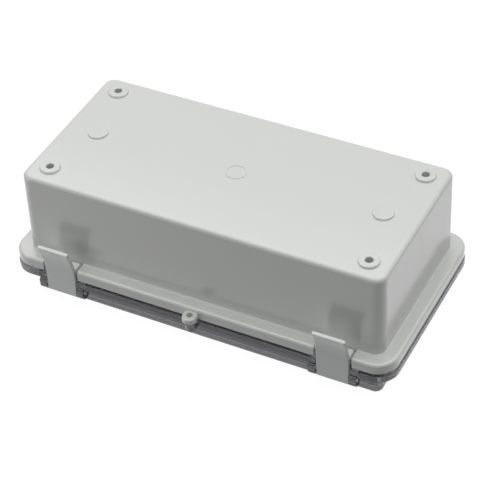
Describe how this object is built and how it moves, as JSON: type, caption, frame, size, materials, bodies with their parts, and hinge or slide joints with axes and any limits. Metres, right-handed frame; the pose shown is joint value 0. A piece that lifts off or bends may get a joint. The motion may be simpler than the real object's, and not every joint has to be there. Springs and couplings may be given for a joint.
{
  "type": "waterproof junction box",
  "caption": "Waterproof junction box with a grey back shell, a hinged smoke-tinted clear lid, two snap latches, a seal eye and an inner mounting plate.",
  "frame": {"origin": "middle of the box at the outer face of the lid, on which it lies", "axes": "+X along the box to the right seen from the latches, +Y from the latches to the hinges, +Z from the lid to the back face"},
  "size_m": [0.2006, 0.1079, 0.072],
  "materials": {
    "shell_plastic": "satin moulded, light grey",
    "latch_plastic": "satin moulded, light grey",
    "clear_lid": "polished clear plastic with a smoke tint",
    "gasket_rubber": "soft foam rubber",
    "pin_steel": "drawn",
    "plate_steel": "galvanised",
    "screw_steel": "zinc plated",
    "insert_brass": "turned"
  },
  "bodies": {
    "lid_body": {"lid": "clear_lid", "latch_pin_left": "pin_steel", "latch_pin_right": "pin_steel", "hinge_pin_left": "pin_steel", "hinge_pin_right": "pin_steel"},
    "base_body": {"base_shell": "shell_plastic", "seal_gasket": "gasket_rubber", "hinge_bracket_left": "latch_plastic", "hinge_bracket_right": "latch_plastic", "mounting_plate": "plate_steel", "plate_screws": "screw_steel", "plate_inserts": "insert_brass"},
    "latch_left_body": {"latch_left": "latch_plastic"},
    "latch_right_body": {"latch_right": "latch_plastic"}
  },
  "joints": [
    {"name": "base_hinge", "type": "hinge", "parent": "lid_body", "child": "base_body", "pos_m": [0, 0.048, 0.0119], "axis": [-1, 0, 0], "range_deg": [0, 105]},
    {"name": "latch_left_hinge", "type": "hinge", "parent": "lid_body", "child": "latch_left_body", "pos_m": [-0.0718, -0.048, 0.0119], "axis": [1, 0, 0], "range_deg": [0, 95]},
    {"name": "latch_right_hinge", "type": "hinge", "parent": "lid_body", "child": "latch_right_body", "pos_m": [0.0718, -0.048, 0.0119], "axis": [1, 0, 0], "range_deg": [0, 95]}
  ]
}
